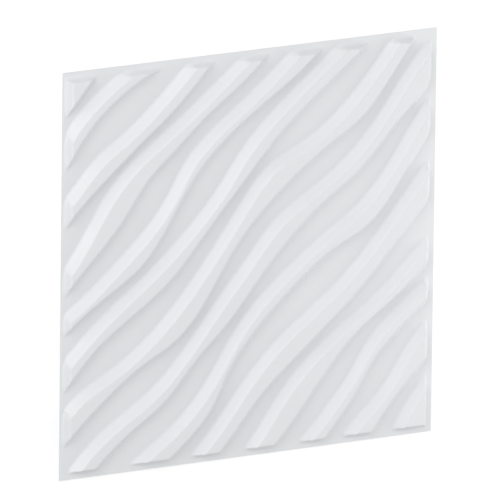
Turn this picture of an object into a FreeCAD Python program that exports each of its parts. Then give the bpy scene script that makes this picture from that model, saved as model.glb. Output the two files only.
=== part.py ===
"""Thermoformed wall panel: one thin sheet pressed into diagonal wave ridges, lying face up.

X runs along the panel's lower edge, Y up the panel as it hangs on the wall, Z out of its face.
The origin is the middle of the glue face at the back.
"""
import FreeCAD, Part
import math
import os

# Driving sizes, in millimetres
SIZES = {
    "panel_width": 500,
    "panel_height": 500,
    "sheet_thickness": 1,
    "relief_height": 11,
    "rim_left": 4,
    "rim_right": 9,
    "rim_bottom": 7,
    "rim_top": 7,
    "flank_run": 9,
    "end_run": 4.5,
    "crest_radius": 2,
}

# The wave lines are drawn on a tile of this side, from its lower left corner, and stretch with the panel.
DRAWN_SIDE = 500.0

# Each ridge has two crest lines, the edges of its flat top: the upper left one, then the lower right one.
# Both run from the lower left to the upper right, and past the field that the rim leaves free.
RIDGES = [
    ([(-25, 475), (0, 500), (25, 525)],
     [(-14, 438), (9, 461), (24, 479), (50, 511)]),
    ([(-7, 388), (17, 428), (36, 449), (65, 473), (110, 503)],
     [(-8, 372), (8, 398), (34, 433), (64, 461), (94, 481), (140, 504)]),
    ([(-7, 321), (27, 358), (50, 383), (85, 408), (126, 442), (188, 504)],
     [(-8, 305), (24, 340), (64, 376), (104, 410), (124, 426), (164, 463), (203, 505)]),
    ([(-8, 232), (13, 258), (28, 279), (67, 340), (90, 366), (125, 394), (165, 423), (206, 456),
      (263, 503)],
     [(-9, 220), (19, 252), (54, 288), (84, 325), (104, 354), (144, 392), (184, 428), (235, 467),
      (275, 504)]),
    ([(-8, 186), (25, 208), (66, 242), (106, 278), (147, 327), (172, 368), (196, 394), (246, 433),
      (330, 505)],
     [(-13, 172), (26, 203), (65, 229), (99, 253), (134, 298), (165, 348), (205, 393), (264, 438),
      (314, 474), (350, 506)]),
    ([(-8, 121), (26, 157), (66, 193), (131, 244), (176, 286), (217, 333), (247, 375), (286, 415),
      (335, 457), (395, 505)],
     [(-15, 95), (7, 121), (45, 162), (84, 191), (145, 238), (184, 283), (234, 341), (285, 398),
      (344, 449), (415, 507)]),
    ([(-8, 57), (25, 93), (65, 117), (116, 152), (157, 192), (207, 254), (247, 310), (280, 348),
      (325, 372), (386, 418), (459, 505)],
     [(-14, 31), (25, 70), (64, 104), (105, 133), (145, 156), (168, 177), (205, 231), (235, 275),
      (295, 335), (355, 379), (389, 401), (424, 440), (471, 506)]),
    ([(5, -13), (36, 24), (75, 56), (115, 82), (157, 120), (207, 182), (252, 236), (291, 281),
      (345, 318), (391, 353), (437, 406), (472, 454), (513, 495)],
     [(22, -8), (55, 24), (95, 56), (134, 84), (174, 129), (214, 168), (254, 216), (295, 263),
      (344, 306), (394, 343), (434, 386), (474, 427), (506, 469)]),
    ([(77, -14), (115, 13), (156, 43), (203, 95), (230, 137), (262, 179), (296, 210), (355, 255),
      (401, 287), (447, 339), (482, 390), (514, 430)],
     [(115, -8), (154, 23), (178, 45), (198, 70), (217, 108), (254, 158), (304, 206), (365, 250),
      (400, 268), (434, 304), (474, 362), (508, 404)]),
    ([(164, -13), (197, 19), (247, 81), (286, 124), (336, 164), (386, 204), (427, 248), (467, 296),
      (514, 354)],
     [(188, -9), (224, 30), (264, 78), (304, 114), (344, 148), (385, 184), (424, 225), (464, 271),
      (507, 319)]),
    ([(239, -13), (267, 20), (297, 62), (336, 105), (375, 136), (420, 167), (466, 209), (513, 254)],
     [(259, -9), (294, 25), (324, 62), (354, 100), (394, 142), (434, 171), (474, 204), (508, 235)]),
    ([(307, -14), (336, 12), (367, 46), (397, 84), (417, 115), (446, 146), (480, 174), (512, 198)],
     [(332, -10), (364, 30), (384, 55), (410, 97), (445, 134), (508, 187)]),
    ([(372, -13), (396, 15), (437, 55), (467, 98), (514, 153)],
     [(398, -10), (427, 32), (459, 69), (508, 116)]),
    ([(446, -12), (467, 26), (497, 67), (514, 92)],
     [(475, -25), (500, 0), (525, 25)]),
]

# Arcs across a rounded crest, and points on each line beside a crest for one stretch of it
CREST_ARCS = 3
STRETCH_POINTS = 2

# Two heights closer than this are the same level
SAME_LEVEL = 1e-6

doc = FreeCAD.newDocument("wall_panel")


def make_size_sheet():
    cells = doc.addObject("Spreadsheet::Sheet", "sizes")
    for row, (name, value) in enumerate(SIZES.items(), start=1):
        cells.set(f"A{row}", name)
        cells.set(f"B{row}", str(value))
        cells.setAlias(f"B{row}", name)
    doc.recompute()
    return cells


sizes = make_size_sheet()


def make(kind, name, **expressions):
    """A new object whose properties are tied to cells of the size sheet."""
    item = doc.addObject(kind, name)
    for prop, expression in expressions.items():
        item.setExpression(prop.replace("_", "."), expression)
    return item


def slope_of(run):
    """Slope of a wall of the relief that rises over this run."""
    return math.atan2(sizes.relief_height, run)


def wall_inset(run):
    """How far the back of such a wall stands inside its front, each at its own foot."""
    return sizes.sheet_thickness * math.tan(slope_of(run) / 2)


def on_panel(point):
    x, y = point
    return FreeCAD.Vector((x / DRAWN_SIDE - 0.5) * sizes.panel_width,
                          (y / DRAWN_SIDE - 0.5) * sizes.panel_height, 0)


def line_beside(crest, spans, distance, level):
    """The line that runs beside a crest line, at a distance to its right and at a level above it."""
    first, last = crest.FirstParameter, crest.LastParameter
    places = [first + (last - first) * step / spans for step in range(spans + 1)]
    points = []
    for place in places:
        along = crest.tangent(place)[0]
        points.append(crest.value(place) + FreeCAD.Vector(along.y, -along.x, 0) * distance
                      + FreeCAD.Vector(0, 0, level))
    line = Part.BSplineCurve()
    line.interpolate(Points=points, Parameters=places)
    return line


def patch(rows, weights, degree, knots, repeats):
    """The surface over rows of poles, with one straight stretch or one arc across each row."""
    across = len(weights) - 1
    surface = Part.BSplineSurface()
    surface.buildFromPolesMultsKnots(
        rows, repeats, [across + 1, across + 1], knots, [0, 1], False, False, degree, across,
        [weights] * len(rows))
    return surface


def strip(lines, weights):
    """The surface across lines that run side by side."""
    rows = [list(row) for row in zip(*(line.getPoles() for line in lines))]
    return patch(rows, weights, lines[0].Degree, lines[0].getKnots(), lines[0].getMultiplicities())


def end_between(left, right, end):
    """The surface that joins the ends of a left and a right strip."""
    rows = [left.getPoles()[end], right.getPoles()[end]]
    return patch(rows, left.getWeights()[end], 1, [0, 1], [2, 2])


def side_of_ridge(crest_points, outwards, inset, level, radius):
    """The strips of one side of a ridge, flank first and then the arcs of its rounded crest.

    Its foot line and the edge of the plateau come with them.
    """
    crest = Part.BSplineCurve()
    crest.interpolate([on_panel(point) for point in crest_points])
    spans = STRETCH_POINTS * (len(crest_points) - 1)
    slope = slope_of(sizes.flank_run)
    setback = radius * math.tan(slope / 2)
    top = level + sizes.relief_height

    def line_on_arc(turn, reach):
        return line_beside(crest, spans, outwards * (reach * math.sin(turn) - setback - inset),
                           top - radius + reach * math.cos(turn))

    arcs = CREST_ARCS if radius else 0
    step = slope / CREST_ARCS
    foot_line = line_beside(crest, spans, outwards * (sizes.flank_run - inset), level)
    lines = [line_on_arc(slope - step * arc, radius) for arc in range(arcs + 1)]
    strips = [strip([foot_line, lines[0]], [1, 1])]
    for arc in range(arcs):
        pole = line_on_arc(slope - step * (arc + 0.5), radius / math.cos(step / 2))
        strips.append(strip([lines[arc], pole, lines[arc + 1]], [1, math.cos(step / 2), 1]))
    return strips, foot_line, lines[-1]


def flat_face(left, right):
    """The flat face between two lines at one level."""
    sides = [left.toShape(), right.toShape()]
    ends = [Part.makeLine(sides[0].Vertexes[end].Point, sides[1].Vertexes[end].Point) for end in (0, -1)]
    return Part.Face(Part.Wire(Part.__sortEdges__(sides + ends)))


def ridge_solid(ridge, inset, level, radius):
    """A ridge that runs past the field at both its ends, closed all round."""
    left_strips, left_foot, left_crest = side_of_ridge(ridge[0], -1, inset, level, radius)
    right_strips, right_foot, right_crest = side_of_ridge(ridge[1], 1, inset, level, radius)
    faces = [flat_face(left_foot, right_foot), flat_face(left_crest, right_crest)]
    for left, right in zip(left_strips, right_strips):
        ends = [end_between(left, right, end) for end in (0, -1)]
        faces += [surface.toShape() for surface in [left, right] + ends]
    shell = Part.makeShell(faces)
    shell.sewShape()
    solid = Part.makeSolid(shell)
    if solid.Volume < 0:
        solid.reverse()
    return solid


def make_field(name, inset, level):
    """The drafted block that the ridges end in, inside the rim. Its height runs along its own Y."""
    left = f"-sizes.panel_width / 2 + sizes.rim_left + {inset}"
    right = f"sizes.panel_width / 2 - sizes.rim_right - {inset}"
    bottom = f"sizes.panel_height / 2 - sizes.rim_bottom - {inset}"
    top = f"-sizes.panel_height / 2 + sizes.rim_top + {inset}"
    block = make("Part::Wedge", name, Xmin=left, Xmax=right, Zmin=top, Zmax=bottom,
                 X2min=f"{left} + sizes.end_run", X2max=f"{right} - sizes.end_run",
                 Z2min=f"{top} + sizes.end_run", Z2max=f"{bottom} - sizes.end_run",
                 Ymin="0", Ymax="sizes.relief_height", Placement_Base_z=level)
    block.Placement.Rotation = FreeCAD.Rotation(FreeCAD.Vector(1, 0, 0), 90)
    return block


def make_relief(name, field, inset, level, radius):
    """All ridges, cut to the field."""
    ridges = []
    for number, ridge in enumerate(RIDGES, start=1):
        item = doc.addObject("Part::Feature", f"{name}_ridge_{number}")
        item.Shape = ridge_solid(ridge, inset, level, radius)
        ridges.append(item)
    whole = doc.addObject("Part::MultiFuse", f"{name}_ridges")
    whole.Shapes = ridges
    relief = doc.addObject("Part::Common", name)
    relief.Base = whole
    relief.Tool = field
    return relief


def round_upper_edges(name, block, radius):
    doc.recompute()
    top = block.Shape.BoundBox.ZMax
    upper = [number for number, edge in enumerate(block.Shape.Edges, start=1)
             if math.isclose(edge.BoundBox.ZMin, top, abs_tol=SAME_LEVEL)]
    rounded = doc.addObject("Part::Fillet", name)
    rounded.Base = block
    rounded.Edges = [(number, radius, radius) for number in upper]
    return rounded


END_INSET = "sizes.sheet_thickness * tan(atan(sizes.relief_height / sizes.end_run) / 2)"

flat_sheet = make("Part::Box", "flat_sheet", Length="sizes.panel_width", Width="sizes.panel_height",
                  Height="sizes.sheet_thickness", Placement_Base_x="-sizes.panel_width / 2",
                  Placement_Base_y="-sizes.panel_height / 2")
front_field = round_upper_edges("front_field", make_field("front_block", "0", "sizes.sheet_thickness"),
                                sizes.crest_radius)
front = make_relief("front", front_field, 0, sizes.sheet_thickness, sizes.crest_radius)
back_field = make_field("back_field", END_INSET, "0")
back = make_relief("back", back_field, wall_inset(sizes.flank_run), 0, 0)

pressed = doc.addObject("Part::Fuse", "pressed")
pressed.Base = flat_sheet
pressed.Tool = front
panel = doc.addObject("Part::Cut", "wall_panel")
panel.Base = pressed
panel.Tool = back
panel.Label = "wall_panel"
doc.recompute()

failed = [item.Name for item in doc.Objects if {"Invalid", "Error"} & set(item.State)]
if failed:
    raise RuntimeError(f"failed objects: {failed}")
if panel.Shape.isNull() or not panel.Shape.isValid():
    raise RuntimeError(f"{panel.Label} is not a valid solid")

os.makedirs("parts", exist_ok=True)
panel.Shape.exportStep(f"parts/{panel.Label}.step")
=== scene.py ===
"""A white 3d wall panel: one PVC sheet pressed into diagonal wave ridges, lying face up on a pale floor."""
import math
import bmesh
import bpy
import numpy as np
from mathutils import Matrix, Vector
from mathutils.geometry import delaunay_2d_cdt


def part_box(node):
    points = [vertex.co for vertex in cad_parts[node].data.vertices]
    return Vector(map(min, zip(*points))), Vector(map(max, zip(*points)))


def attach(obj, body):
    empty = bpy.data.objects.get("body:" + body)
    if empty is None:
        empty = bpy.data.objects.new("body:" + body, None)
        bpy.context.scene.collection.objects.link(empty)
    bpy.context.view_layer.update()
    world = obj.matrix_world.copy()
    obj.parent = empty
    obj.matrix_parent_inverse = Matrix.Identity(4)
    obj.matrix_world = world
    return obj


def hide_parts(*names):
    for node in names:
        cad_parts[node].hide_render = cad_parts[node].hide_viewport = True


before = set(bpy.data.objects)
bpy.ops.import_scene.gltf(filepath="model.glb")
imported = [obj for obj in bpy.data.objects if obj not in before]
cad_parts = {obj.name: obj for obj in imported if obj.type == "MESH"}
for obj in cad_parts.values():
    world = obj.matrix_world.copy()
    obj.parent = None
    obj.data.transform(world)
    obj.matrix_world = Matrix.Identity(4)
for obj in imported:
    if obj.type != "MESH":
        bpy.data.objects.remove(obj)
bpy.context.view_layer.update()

MM = 0.001

# The pressed relief, in millimetres, with the rims at the left and bottom and those at the right and top
PANEL_LOW, PANEL_HIGH = (np.array(corner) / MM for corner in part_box("wall_panel"))
PANEL_SIZE = PANEL_HIGH - PANEL_LOW
SHEET_THICKNESS = 1.0
RELIEF_HEIGHT = PANEL_SIZE[2] - SHEET_THICKNESS
FLANK_RUN = 9.0
END_RUN = 4.5
RIM_LOW = np.array((4.0, 7.0))
RIM_HIGH = np.array((9.0, 7.0))
CREST_RADIUS = 3.0
FOOT_RADIUS = 5.0

# The field inside the end walls, where the ridges have their full height
FIELD_LOW = RIM_LOW + END_RUN
FIELD_HIGH = PANEL_SIZE[:2] - RIM_HIGH - END_RUN

# The net that the front is drawn with: the step along a line and the straight run past its ends, in
# millimetres, the steps over a round and up a wall, and the turns round a ridge's corner
LINE_STEP = 2.5
RUN_OUT = 25.0
ROUND_STEPS = 5
WALL_STEPS = 5
CORNER_TURNS = [math.radians(turn) for turn in (0, 22.5, 45, 67.5, 90)]
SAME_PLACE = 1e-4

# Faces of the solid that look up belong to the front, and edges that fold more than this stay sharp
FACES_UP = 0.001
SHARP_FOLD = math.radians(30)

# The sheet's orange peel, drawn coarser than it is so that it shows, and the slow drift of its tint,
# in millimetres
PEEL_WIDTH = 2.5
PEEL_DEPTH = 0.15
DRIFT_WIDTH = 60.0

# The two crest lines of each ridge, upper left one first, in millimetres from the panel's lower left corner
RIDGES = [
    ([(-25, 475), (0, 500), (25, 525)],
     [(-14, 438), (9, 461), (24, 479), (50, 511)]),
    ([(-7, 388), (17, 428), (36, 449), (65, 473), (110, 503)],
     [(-8, 372), (8, 398), (34, 433), (64, 461), (94, 481), (140, 504)]),
    ([(-7, 321), (27, 358), (50, 383), (85, 408), (126, 442), (188, 504)],
     [(-8, 305), (24, 340), (64, 376), (104, 410), (124, 426), (164, 463), (203, 505)]),
    ([(-8, 232), (13, 258), (28, 279), (67, 340), (90, 366), (125, 394), (165, 423), (206, 456),
      (263, 503)],
     [(-9, 220), (19, 252), (54, 288), (84, 325), (104, 354), (144, 392), (184, 428), (235, 467),
      (275, 504)]),
    ([(-8, 186), (25, 208), (66, 242), (106, 278), (147, 327), (172, 368), (196, 394), (246, 433),
      (330, 505)],
     [(-13, 172), (26, 203), (65, 229), (99, 253), (134, 298), (165, 348), (205, 393), (264, 438),
      (314, 474), (350, 506)]),
    ([(-8, 121), (26, 157), (66, 193), (131, 244), (176, 286), (217, 333), (247, 375), (286, 415),
      (335, 457), (395, 505)],
     [(-15, 95), (7, 121), (45, 162), (84, 191), (145, 238), (184, 283), (234, 341), (285, 398),
      (344, 449), (415, 507)]),
    ([(-8, 57), (25, 93), (65, 117), (116, 152), (157, 192), (207, 254), (247, 310), (280, 348),
      (325, 372), (386, 418), (459, 505)],
     [(-14, 31), (25, 70), (64, 104), (105, 133), (145, 156), (168, 177), (205, 231), (235, 275),
      (295, 335), (355, 379), (389, 401), (424, 440), (471, 506)]),
    ([(5, -13), (36, 24), (75, 56), (115, 82), (157, 120), (207, 182), (252, 236), (291, 281),
      (345, 318), (391, 353), (437, 406), (472, 454), (513, 495)],
     [(22, -8), (55, 24), (95, 56), (134, 84), (174, 129), (214, 168), (254, 216), (295, 263),
      (344, 306), (394, 343), (434, 386), (474, 427), (506, 469)]),
    ([(77, -14), (115, 13), (156, 43), (203, 95), (230, 137), (262, 179), (296, 210), (355, 255),
      (401, 287), (447, 339), (482, 390), (514, 430)],
     [(115, -8), (154, 23), (178, 45), (198, 70), (217, 108), (254, 158), (304, 206), (365, 250),
      (400, 268), (434, 304), (474, 362), (508, 404)]),
    ([(164, -13), (197, 19), (247, 81), (286, 124), (336, 164), (386, 204), (427, 248), (467, 296),
      (514, 354)],
     [(188, -9), (224, 30), (264, 78), (304, 114), (344, 148), (385, 184), (424, 225), (464, 271),
      (507, 319)]),
    ([(239, -13), (267, 20), (297, 62), (336, 105), (375, 136), (420, 167), (466, 209), (513, 254)],
     [(259, -9), (294, 25), (324, 62), (354, 100), (394, 142), (434, 171), (474, 204), (508, 235)]),
    ([(307, -14), (336, 12), (367, 46), (397, 84), (417, 115), (446, 146), (480, 174), (512, 198)],
     [(332, -10), (364, 30), (384, 55), (410, 97), (445, 134), (508, 187)]),
    ([(372, -13), (396, 15), (437, 55), (467, 98), (514, 153)],
     [(398, -10), (427, 32), (459, 69), (508, 116)]),
    ([(446, -12), (467, 26), (497, 67), (514, 92)],
     [(475, -25), (500, 0), (525, 25)]),
]

# The camera's axes in the panel's frame, as the relief and the panel's outline show them, its distance in
# metres, and where the panel's middle is in the picture
CAMERA_RIGHT = Vector((0.886, 0.011, 0.464))
CAMERA_UP = Vector((0.114, 0.964, -0.242))
CAMERA_DISTANCE = 20.0
IMAGE_SIDE = 500
PIXELS_PER_METRE = 841.5
PANEL_MIDDLE_PIXEL = (248.1, 253.5)

# The floor's side in metres, and the lift that keeps its paper white, near the panel and far from it
FLOOR_SIDE = 24.0
NEAR_REACH, NEAR_LIFT = 0.45, 0.08
FAR_REACH, FAR_LIFT = 1.0, 0.35

# Width of a soft box for each metre that it hangs away
SOFT_BOX_SPREAD = 0.63


def linear(hex_colour):
    """An sRGB hex colour as linear RGBA."""
    channels = [int(hex_colour[place:place + 2], 16) / 255 for place in (1, 3, 5)]
    return [c / 12.92 if c <= 0.04045 else ((c + 0.055) / 1.055) ** 2.4 for c in channels] + [1.0]


def add_node(tree, kind, settings=(), numbered=(), **named):
    """A node with its settings, and a value or a link for each input, by its number or its name."""
    node = tree.nodes.new(kind)
    for name, value in dict(settings).items():
        setattr(node, name, value)
    inputs = dict(numbered) | {name.replace("_", " "): value for name, value in named.items()}
    for place, value in inputs.items():
        if isinstance(value, bpy.types.NodeSocket):
            tree.links.new(value, node.inputs[place])
        else:
            node.inputs[place].default_value = value
    return node


def new_material(name):
    """A material with an empty node tree, and that tree."""
    material = bpy.data.materials.new(name)
    material.use_nodes = True
    material.node_tree.nodes.clear()
    return material, material.node_tree


def thermoformed_pvc():
    """Matt white rigid PVC, vacuum formed: an even white, its soft sheen broken up by fine orange peel."""
    material, tree = new_material("thermoformed_white_pvc")
    place = add_node(tree, "ShaderNodeTexCoord").outputs["Object"]
    peel = add_node(tree, "ShaderNodeTexNoise", Vector=place, Scale=1 / (PEEL_WIDTH * MM), Detail=2.0,
                    Roughness=0.5)
    drift = add_node(tree, "ShaderNodeTexNoise", Vector=place, Scale=1 / (DRIFT_WIDTH * MM), Detail=2.0,
                     Roughness=0.5)
    tint = add_node(tree, "ShaderNodeValToRGB", Fac=drift.outputs["Fac"])
    tint.color_ramp.elements[0].color = linear("#DFE1E3")
    tint.color_ramp.elements[1].color = linear("#E2E4E6")
    gloss = add_node(tree, "ShaderNodeMapRange", Value=peel.outputs["Fac"], To_Min=0.42, To_Max=0.56)
    bump = add_node(tree, "ShaderNodeBump", Strength=0.25, Distance=PEEL_DEPTH * MM,
                    Height=peel.outputs["Fac"])
    skin = add_node(tree, "ShaderNodeBsdfPrincipled", Base_Color=tint.outputs["Color"], IOR=1.53,
                    Roughness=gloss.outputs["Result"], Normal=bump.outputs["Normal"])
    add_node(tree, "ShaderNodeOutputMaterial", Surface=skin.outputs["BSDF"])
    return material


def shown(tree):
    """One for the rays that show the surroundings to the eye, directly, in a gloss or through glass."""
    path = add_node(tree, "ShaderNodeLightPath").outputs
    in_gloss = add_node(tree, "ShaderNodeMath", {"operation": "MAXIMUM"},
                        {0: path["Is Glossy Ray"], 1: path["Is Transmission Ray"]})
    to_eye = add_node(tree, "ShaderNodeMath", {"operation": "MAXIMUM"},
                      {0: path["Is Camera Ray"], 1: in_gloss.outputs["Value"]})
    return to_eye.outputs["Value"]


def floor_paint():
    """Pale grey matt paint, shown as white paper with the panel's shadow on it."""
    material, tree = new_material("pale_floor_paint")
    paint = add_node(tree, "ShaderNodeBsdfDiffuse", Color=linear("#CCCCCC"))
    paper = add_node(tree, "ShaderNodeBsdfDiffuse", Color=linear("#FFFFFF"))
    place = add_node(tree, "ShaderNodeTexCoord").outputs["Object"]
    reach = add_node(tree, "ShaderNodeVectorMath", {"operation": "LENGTH"}, {0: place})
    lift = add_node(tree, "ShaderNodeMapRange", Value=reach.outputs["Value"], From_Min=NEAR_REACH,
                    From_Max=FAR_REACH, To_Min=NEAR_LIFT, To_Max=FAR_LIFT)
    glow = add_node(tree, "ShaderNodeEmission", Color=linear("#FFFFFF"), Strength=lift.outputs["Result"])
    page = add_node(tree, "ShaderNodeAddShader", (),
                    {0: paper.outputs["BSDF"], 1: glow.outputs["Emission"]})
    look = add_node(tree, "ShaderNodeMixShader", (),
                    {"Fac": shown(tree), 1: paint.outputs["BSDF"], 2: page.outputs["Shader"]})
    add_node(tree, "ShaderNodeOutputMaterial", Surface=look.outputs["Shader"])
    return material


def smooth_line(points):
    """A natural cubic through these points, run out straight: places along it and normals to its right."""
    points = np.array(points, float)
    chord = np.concatenate([[0], np.cumsum(np.linalg.norm(np.diff(points, axis=0), axis=1))])
    gap = np.diff(chord)
    rows = np.eye(len(points))
    sides = np.zeros_like(points)
    for k in range(1, len(points) - 1):
        rows[k, k - 1:k + 2] = gap[k - 1], 2 * (gap[k - 1] + gap[k]), gap[k]
        sides[k] = 6 * ((points[k + 1] - points[k]) / gap[k] - (points[k] - points[k - 1]) / gap[k - 1])
    bend = np.linalg.solve(rows, sides)
    at = np.linspace(0, chord[-1], int(chord[-1] / LINE_STEP) + 2)
    k = np.clip(np.searchsorted(chord, at, side="right") - 1, 0, len(gap) - 1)
    span = gap[k][:, None]
    ahead = (chord[k + 1] - at)[:, None]
    behind = (at - chord[k])[:, None]
    start = points[k] / span - bend[k] * span / 6
    end = points[k + 1] / span - bend[k + 1] * span / 6
    places = (bend[k] * ahead ** 3 + bend[k + 1] * behind ** 3) / (6 * span) + start * ahead + end * behind
    along = (bend[k + 1] * behind ** 2 - bend[k] * ahead ** 2) / (2 * span) + end - start
    along /= np.linalg.norm(along, axis=1)[:, None]
    along = np.concatenate([along[:1], along, along[-1:]])
    places = np.concatenate([places[:1] - RUN_OUT * along[:1], places, places[-1:] + RUN_OUT * along[-1:]])
    return places, np.stack([along[:, 1], -along[:, 0]], axis=1)


def fold(run):
    """The slope of a wall over this run, and how far its crest and foot rounds reach past their corners."""
    slope = math.atan2(RELIEF_HEIGHT, run)
    return slope, CREST_RADIUS * math.tan(slope / 2), FOOT_RADIUS * math.tan(slope / 2)


def height_at(reach, run):
    """A wall's heights at these distances outside its crest line: crest round, plane, foot round."""
    slope, crest, foot = fold(run)
    on_crest = RELIEF_HEIGHT - CREST_RADIUS + np.sqrt(
        CREST_RADIUS ** 2 - np.clip(reach + crest, 0, CREST_RADIUS) ** 2)
    on_foot = FOOT_RADIUS - np.sqrt(FOOT_RADIUS ** 2 - np.clip(run + foot - reach, 0, FOOT_RADIUS) ** 2)
    wall = RELIEF_HEIGHT * (1 - reach / run)
    height = np.where(reach < CREST_RADIUS * math.sin(slope) - crest, on_crest, wall)
    return np.where(reach > run + foot - FOOT_RADIUS * math.sin(slope), on_foot, height)


def reach_at(height, run):
    """Distance outside its crest line at which a wall has this height."""
    slope, crest, foot = fold(run)
    lift = 1 - math.cos(slope)
    if height >= RELIEF_HEIGHT - CREST_RADIUS * lift:
        return math.sqrt(max(CREST_RADIUS ** 2 - (height - RELIEF_HEIGHT + CREST_RADIUS) ** 2, 0)) - crest
    if height <= FOOT_RADIUS * lift:
        return run + foot - math.sqrt(max(FOOT_RADIUS ** 2 - (FOOT_RADIUS - height) ** 2, 0))
    return run * (1 - height / RELIEF_HEIGHT)


def line_heights():
    """Heights of the net's lines: over the crest round, at the wall's middle steps, over the foot round."""
    slope = fold(END_RUN)[0]
    lifts = [1 - math.cos(slope * k / ROUND_STEPS) for k in range(ROUND_STEPS + 1)]
    wall = [RELIEF_HEIGHT * k / WALL_STEPS for k in range(2, WALL_STEPS - 1)]
    return ([RELIEF_HEIGHT - CREST_RADIUS * lift for lift in lifts] + wall[::-1]
            + [FOOT_RADIUS * lift for lift in lifts[::-1]])


def end_reach(places):
    """Distance of each place outside the crest lines of the end walls, which stand along the rim."""
    return np.maximum(FIELD_LOW - places, places - FIELD_HIGH).max(axis=1)


def within(places, excess):
    """The stretch of a line where the excess is negative, ended where it is nought."""
    inside = np.flatnonzero(excess < 0)
    if not len(inside):
        return []
    first, last = inside[0], inside[-1]
    enter, leave = (places[a] + (places[b] - places[a]) * excess[a] / (excess[a] - excess[b])
                    for a, b in ((first - 1, first), (last + 1, last)))
    return [enter, *places[first:last + 1], leave]


class Net:
    """The points and lines that the front is triangulated over, seen from above."""

    def __init__(self):
        self.points = []
        self.lines = []

    def draw_loop(self, places):
        """A closed line through the places, and the numbers of its points."""
        numbers = list(range(len(self.points), len(self.points) + len(places)))
        self.points += [Vector(place) for place in places]
        self.lines += zip(numbers, numbers[1:] + numbers[:1])
        return numbers


def crest_lines():
    """Each ridge's two crest lines as places and unit normals that point out of the ridge."""
    ridges = []
    for left, right in RIDGES:
        left_places, left_normals = smooth_line(left)
        right_places, right_normals = smooth_line(right)
        ridges.append([(left_places, -left_normals), (right_places, right_normals)])
    return ridges


def contour(places, outwards, flank, end):
    """A ridge side's line at one height, turned round onto the end walls at both ends."""
    reaches = [(flank, end)]
    if flank > 0 and end > 0:
        reaches = [(flank * math.cos(turn), end * math.sin(turn)) for turn in CORNER_TURNS]
    stretches = []
    for side_reach, wall_reach in reaches:
        line = places + outwards * side_reach
        stretches.append(within(line, end_reach(line) - wall_reach))
    if not all(stretches):
        return []
    side, *turned = stretches
    return [*(line[0] for line in turned[::-1]), *side, *(line[-1] for line in turned)]


def ridge_loop(ridge, flank, end):
    """A ridge's closed line at one height, and where on it the folds of the end walls start."""
    side, *other = [line for line in (contour(*crest, flank, end) for crest in ridge) if line]
    if other:
        turns = [0, len(side) - 1, len(side), len(side) + len(other[0]) - 1]
        return side + other[0][::-1], turns
    # A ridge in the panel's corner shows one side, closed through the corner of the end walls
    low, high = FIELD_LOW - end, FIELD_HIGH + end
    corners = [np.array((low[0], high[1])), np.array((high[0], low[1]))]
    corner = min(corners, key=lambda place: np.linalg.norm(place - side[0]))
    return side + [corner], [0, len(side) - 1, len(side)]


def front_net(ridges):
    """Triangles of the front as seen from above, with edges along every fold."""
    net = Net()
    width, length = PANEL_SIZE[:2]
    net.draw_loop([(0, 0), (width, 0), (width, length), (0, length)])
    levels = [(reach_at(height, FLANK_RUN), reach_at(height, END_RUN)) for height in line_heights()]
    for ridge in ridges:
        corners = []
        for flank, end in levels:
            loop, turns = ridge_loop(ridge, flank, end)
            numbers = net.draw_loop(loop)
            corners.append([numbers[turn] for turn in turns])
        for edge in zip(*corners):
            net.lines += zip(edge, edge[1:])
    points, _, triangles, *_ = delaunay_2d_cdt(net.points, net.lines, [], 0, SAME_PLACE, False)
    return np.array([point[:] for point in points]), triangles


def ridge_height(flank, end):
    """Heights at these distances outside a ridge's flanks and end walls, with rounded corners between."""
    height = np.minimum(height_at(flank, FLANK_RUN), height_at(end, END_RUN))
    corner = (flank > 0) & (end > 0)
    along, across = flank[corner] / FLANK_RUN, end[corner] / END_RUN
    depth = np.hypot(along, across)
    turned = (across / depth) ** 2
    on_flank = height_at(depth * FLANK_RUN, FLANK_RUN)
    on_end = height_at(depth * END_RUN, END_RUN)
    height[corner] = np.minimum(height[corner], on_flank * (1 - turned) + on_end * turned)
    return height


def front_heights(places, ridges):
    """The relief's height at each place: the ridges, ended by the walls along the rim."""
    heights = np.zeros(len(places))
    end = end_reach(places)
    for ridge in ridges:
        flank = np.full(len(places), -np.inf)
        for line, outwards in ridge:
            nearest = (np.square(line).sum(axis=1) - 2 * places @ line.T).argmin(axis=1)
            flank = np.maximum(flank, ((places - line[nearest]) * outwards[nearest]).sum(axis=1))
        heights = np.maximum(heights, ridge_height(flank, end))
    return heights


def pressed_sheet(material):
    """The panel's skin: a finely drawn front with eased folds, on the solid sheet's own back and edges."""
    ridges = crest_lines()
    places, triangles = front_net(ridges)
    levels = SHEET_THICKNESS + front_heights(places, ridges)
    work = bmesh.new()
    work.from_mesh(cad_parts["wall_panel"].data)
    bmesh.ops.remove_doubles(work, verts=work.verts, dist=SAME_PLACE * MM)
    front_corners = {corner for face in work.faces if face.normal.z > FACES_UP for corner in face.verts}
    front_faces = [face for face in work.faces if front_corners.issuperset(face.verts)]
    bmesh.ops.delete(work, geom=front_faces, context="FACES")
    corners = [work.verts.new((PANEL_LOW + (*place, level)) * MM) for place, level in zip(places, levels)]
    for triangle in triangles:
        work.faces.new([corners[k] for k in triangle])
    bmesh.ops.remove_doubles(work, verts=work.verts, dist=SAME_PLACE * MM)
    for face in work.faces:
        face.smooth = True
    for edge in work.edges:
        edge.smooth = edge.calc_face_angle(0) < SHARP_FOLD
    mesh = bpy.data.meshes.new("pressed_sheet")
    work.to_mesh(mesh)
    work.free()
    mesh.materials.clear()
    mesh.materials.append(material)
    piece = bpy.data.objects.new("pressed_sheet", mesh)
    bpy.context.scene.collection.objects.link(piece)
    flats = piece.modifiers.new("flats_stay_flat", "WEIGHTED_NORMAL")
    flats.keep_sharp = True
    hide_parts("wall_panel")
    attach(piece, "root")


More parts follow.
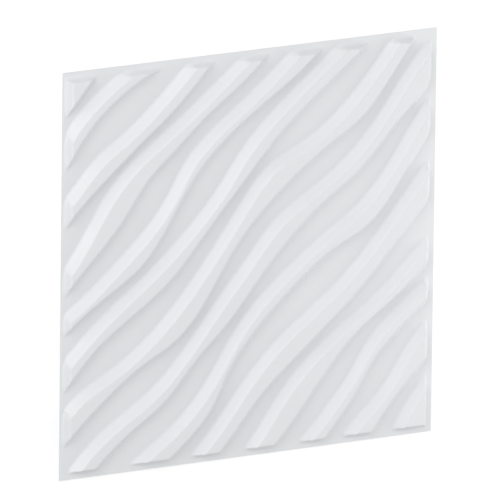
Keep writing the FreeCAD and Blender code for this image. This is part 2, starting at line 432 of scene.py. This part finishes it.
def lay_floor(material):
    """A square floor under the panel, which isn't part of it."""
    mesh = bpy.data.meshes.new("floor")
    half = FLOOR_SIDE / 2
    corners = [(-half, -half, 0), (half, -half, 0), (half, half, 0), (-half, half, 0)]
    mesh.from_pydata(corners, [], [(0, 1, 2, 3)])
    mesh.materials.append(material)
    floor = bpy.data.objects.new("floor", mesh)
    bpy.context.scene.collection.objects.link(floor)


def set_camera():
    """A very long lens at the panel's upper left, so far away that parallel edges stay parallel."""
    back = CAMERA_RIGHT.cross(CAMERA_UP).normalized()
    right = CAMERA_UP.cross(back).normalized()
    up = back.cross(right)
    data = bpy.data.cameras.new("camera")
    data.lens = data.sensor_width * CAMERA_DISTANCE * PIXELS_PER_METRE / IMAGE_SIDE
    data.clip_end = 2 * CAMERA_DISTANCE
    camera = bpy.data.objects.new("camera", data)
    bpy.context.scene.collection.objects.link(camera)
    pixels_right = IMAGE_SIDE / 2 - PANEL_MIDDLE_PIXEL[0]
    pixels_up = PANEL_MIDDLE_PIXEL[1] - IMAGE_SIDE / 2
    aim = (right * pixels_right + up * pixels_up) / PIXELS_PER_METRE
    turn = Matrix((right, up, back)).transposed().to_4x4()
    camera.matrix_world = Matrix.Translation(aim + back * CAMERA_DISTANCE) @ turn
    bpy.context.scene.camera = camera


def hang_lamp(name, elevation, azimuth, distance, level):
    """A square soft box that lights a white card facing it to this level, azimuth from +X towards +Y."""
    data = bpy.data.lights.new(name, "AREA")
    data.size = distance * SOFT_BOX_SPREAD
    data.energy = level * (math.pi * distance) ** 2
    lamp = bpy.data.objects.new(name, data)
    bpy.context.scene.collection.objects.link(lamp)
    flat = math.cos(math.radians(elevation))
    towards = Vector((flat * math.cos(math.radians(azimuth)), flat * math.sin(math.radians(azimuth)),
                      math.sin(math.radians(elevation))))
    lamp.location = towards * distance
    lamp.rotation_euler = towards.to_track_quat("Z", "Y").to_euler()


def light_room(strength):
    """A room that lights the panel from all sides at this strength, and is plain white to the eye."""
    world = bpy.data.worlds.new("room")
    world.use_nodes = True
    tree = world.node_tree
    tree.nodes.clear()
    level = add_node(tree, "ShaderNodeMapRange", Value=shown(tree), To_Min=strength, To_Max=1.0)
    glow = add_node(tree, "ShaderNodeBackground", Color=linear("#FFFFFF"), Strength=level.outputs["Result"])
    add_node(tree, "ShaderNodeOutputWorld", Surface=glow.outputs["Background"])
    bpy.context.scene.world = world


pressed_sheet(thermoformed_pvc())
lay_floor(floor_paint())
light_room(strength=0.685)
hang_lamp("left_soft_box", elevation=20, azimuth=160, distance=3.5, level=0.15)
hang_lamp("upper_left_soft_box", elevation=40, azimuth=140, distance=3.2, level=0.285)
hang_lamp("right_soft_box", elevation=20, azimuth=355, distance=0.9, level=0.288)
set_camera()
bpy.context.scene.view_settings.view_transform = "Standard"
